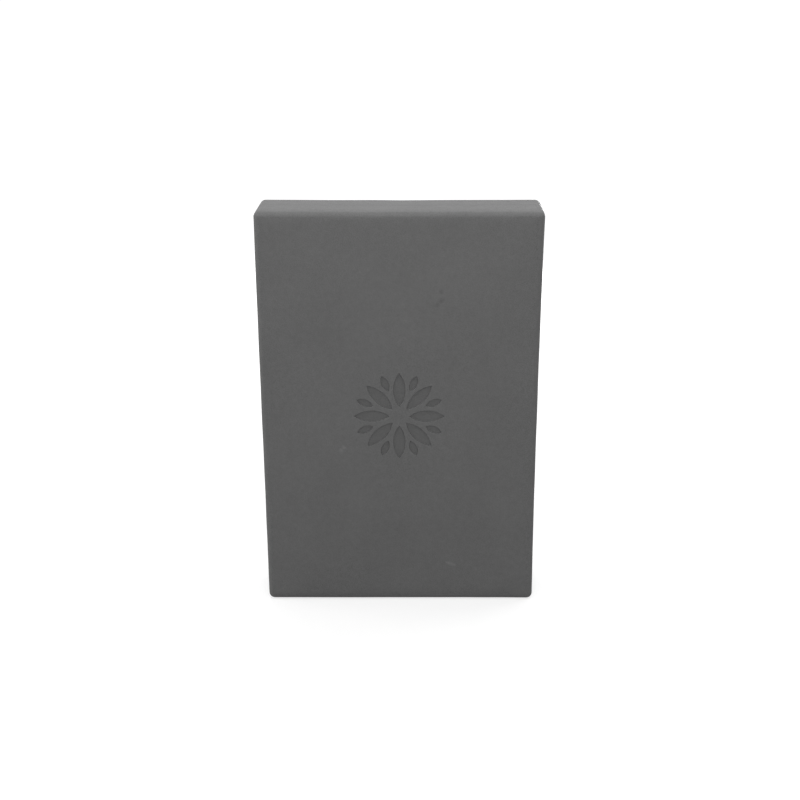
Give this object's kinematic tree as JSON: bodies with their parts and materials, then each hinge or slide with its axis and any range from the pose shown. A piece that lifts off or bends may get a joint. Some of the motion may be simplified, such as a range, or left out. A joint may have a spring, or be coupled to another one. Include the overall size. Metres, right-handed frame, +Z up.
{
  "type": "yoga block",
  "caption": "Rectangular foam yoga block with rounded edges and a plain pressed rosette on one face, set on any side as a firm support in floor exercise.",
  "frame": {"origin": "centre of the short end that the block stands on, in the plane of the surface under it", "axes": "+Z up along the block's length, +X across its width, +Y through its thickness from the pressed front face to the plain rear face"},
  "size_m": [0.205, 0.05, 0.305],
  "materials": {
    "foam": "matte closed-cell EVA foam, dark neutral grey",
    "adhesive": "satin contact adhesive, dark grey"
  },
  "bodies": {
    "root": {"front_sheet": "foam", "bond_film": "adhesive", "rear_sheet": "foam"}
  },
  "joints": []
}
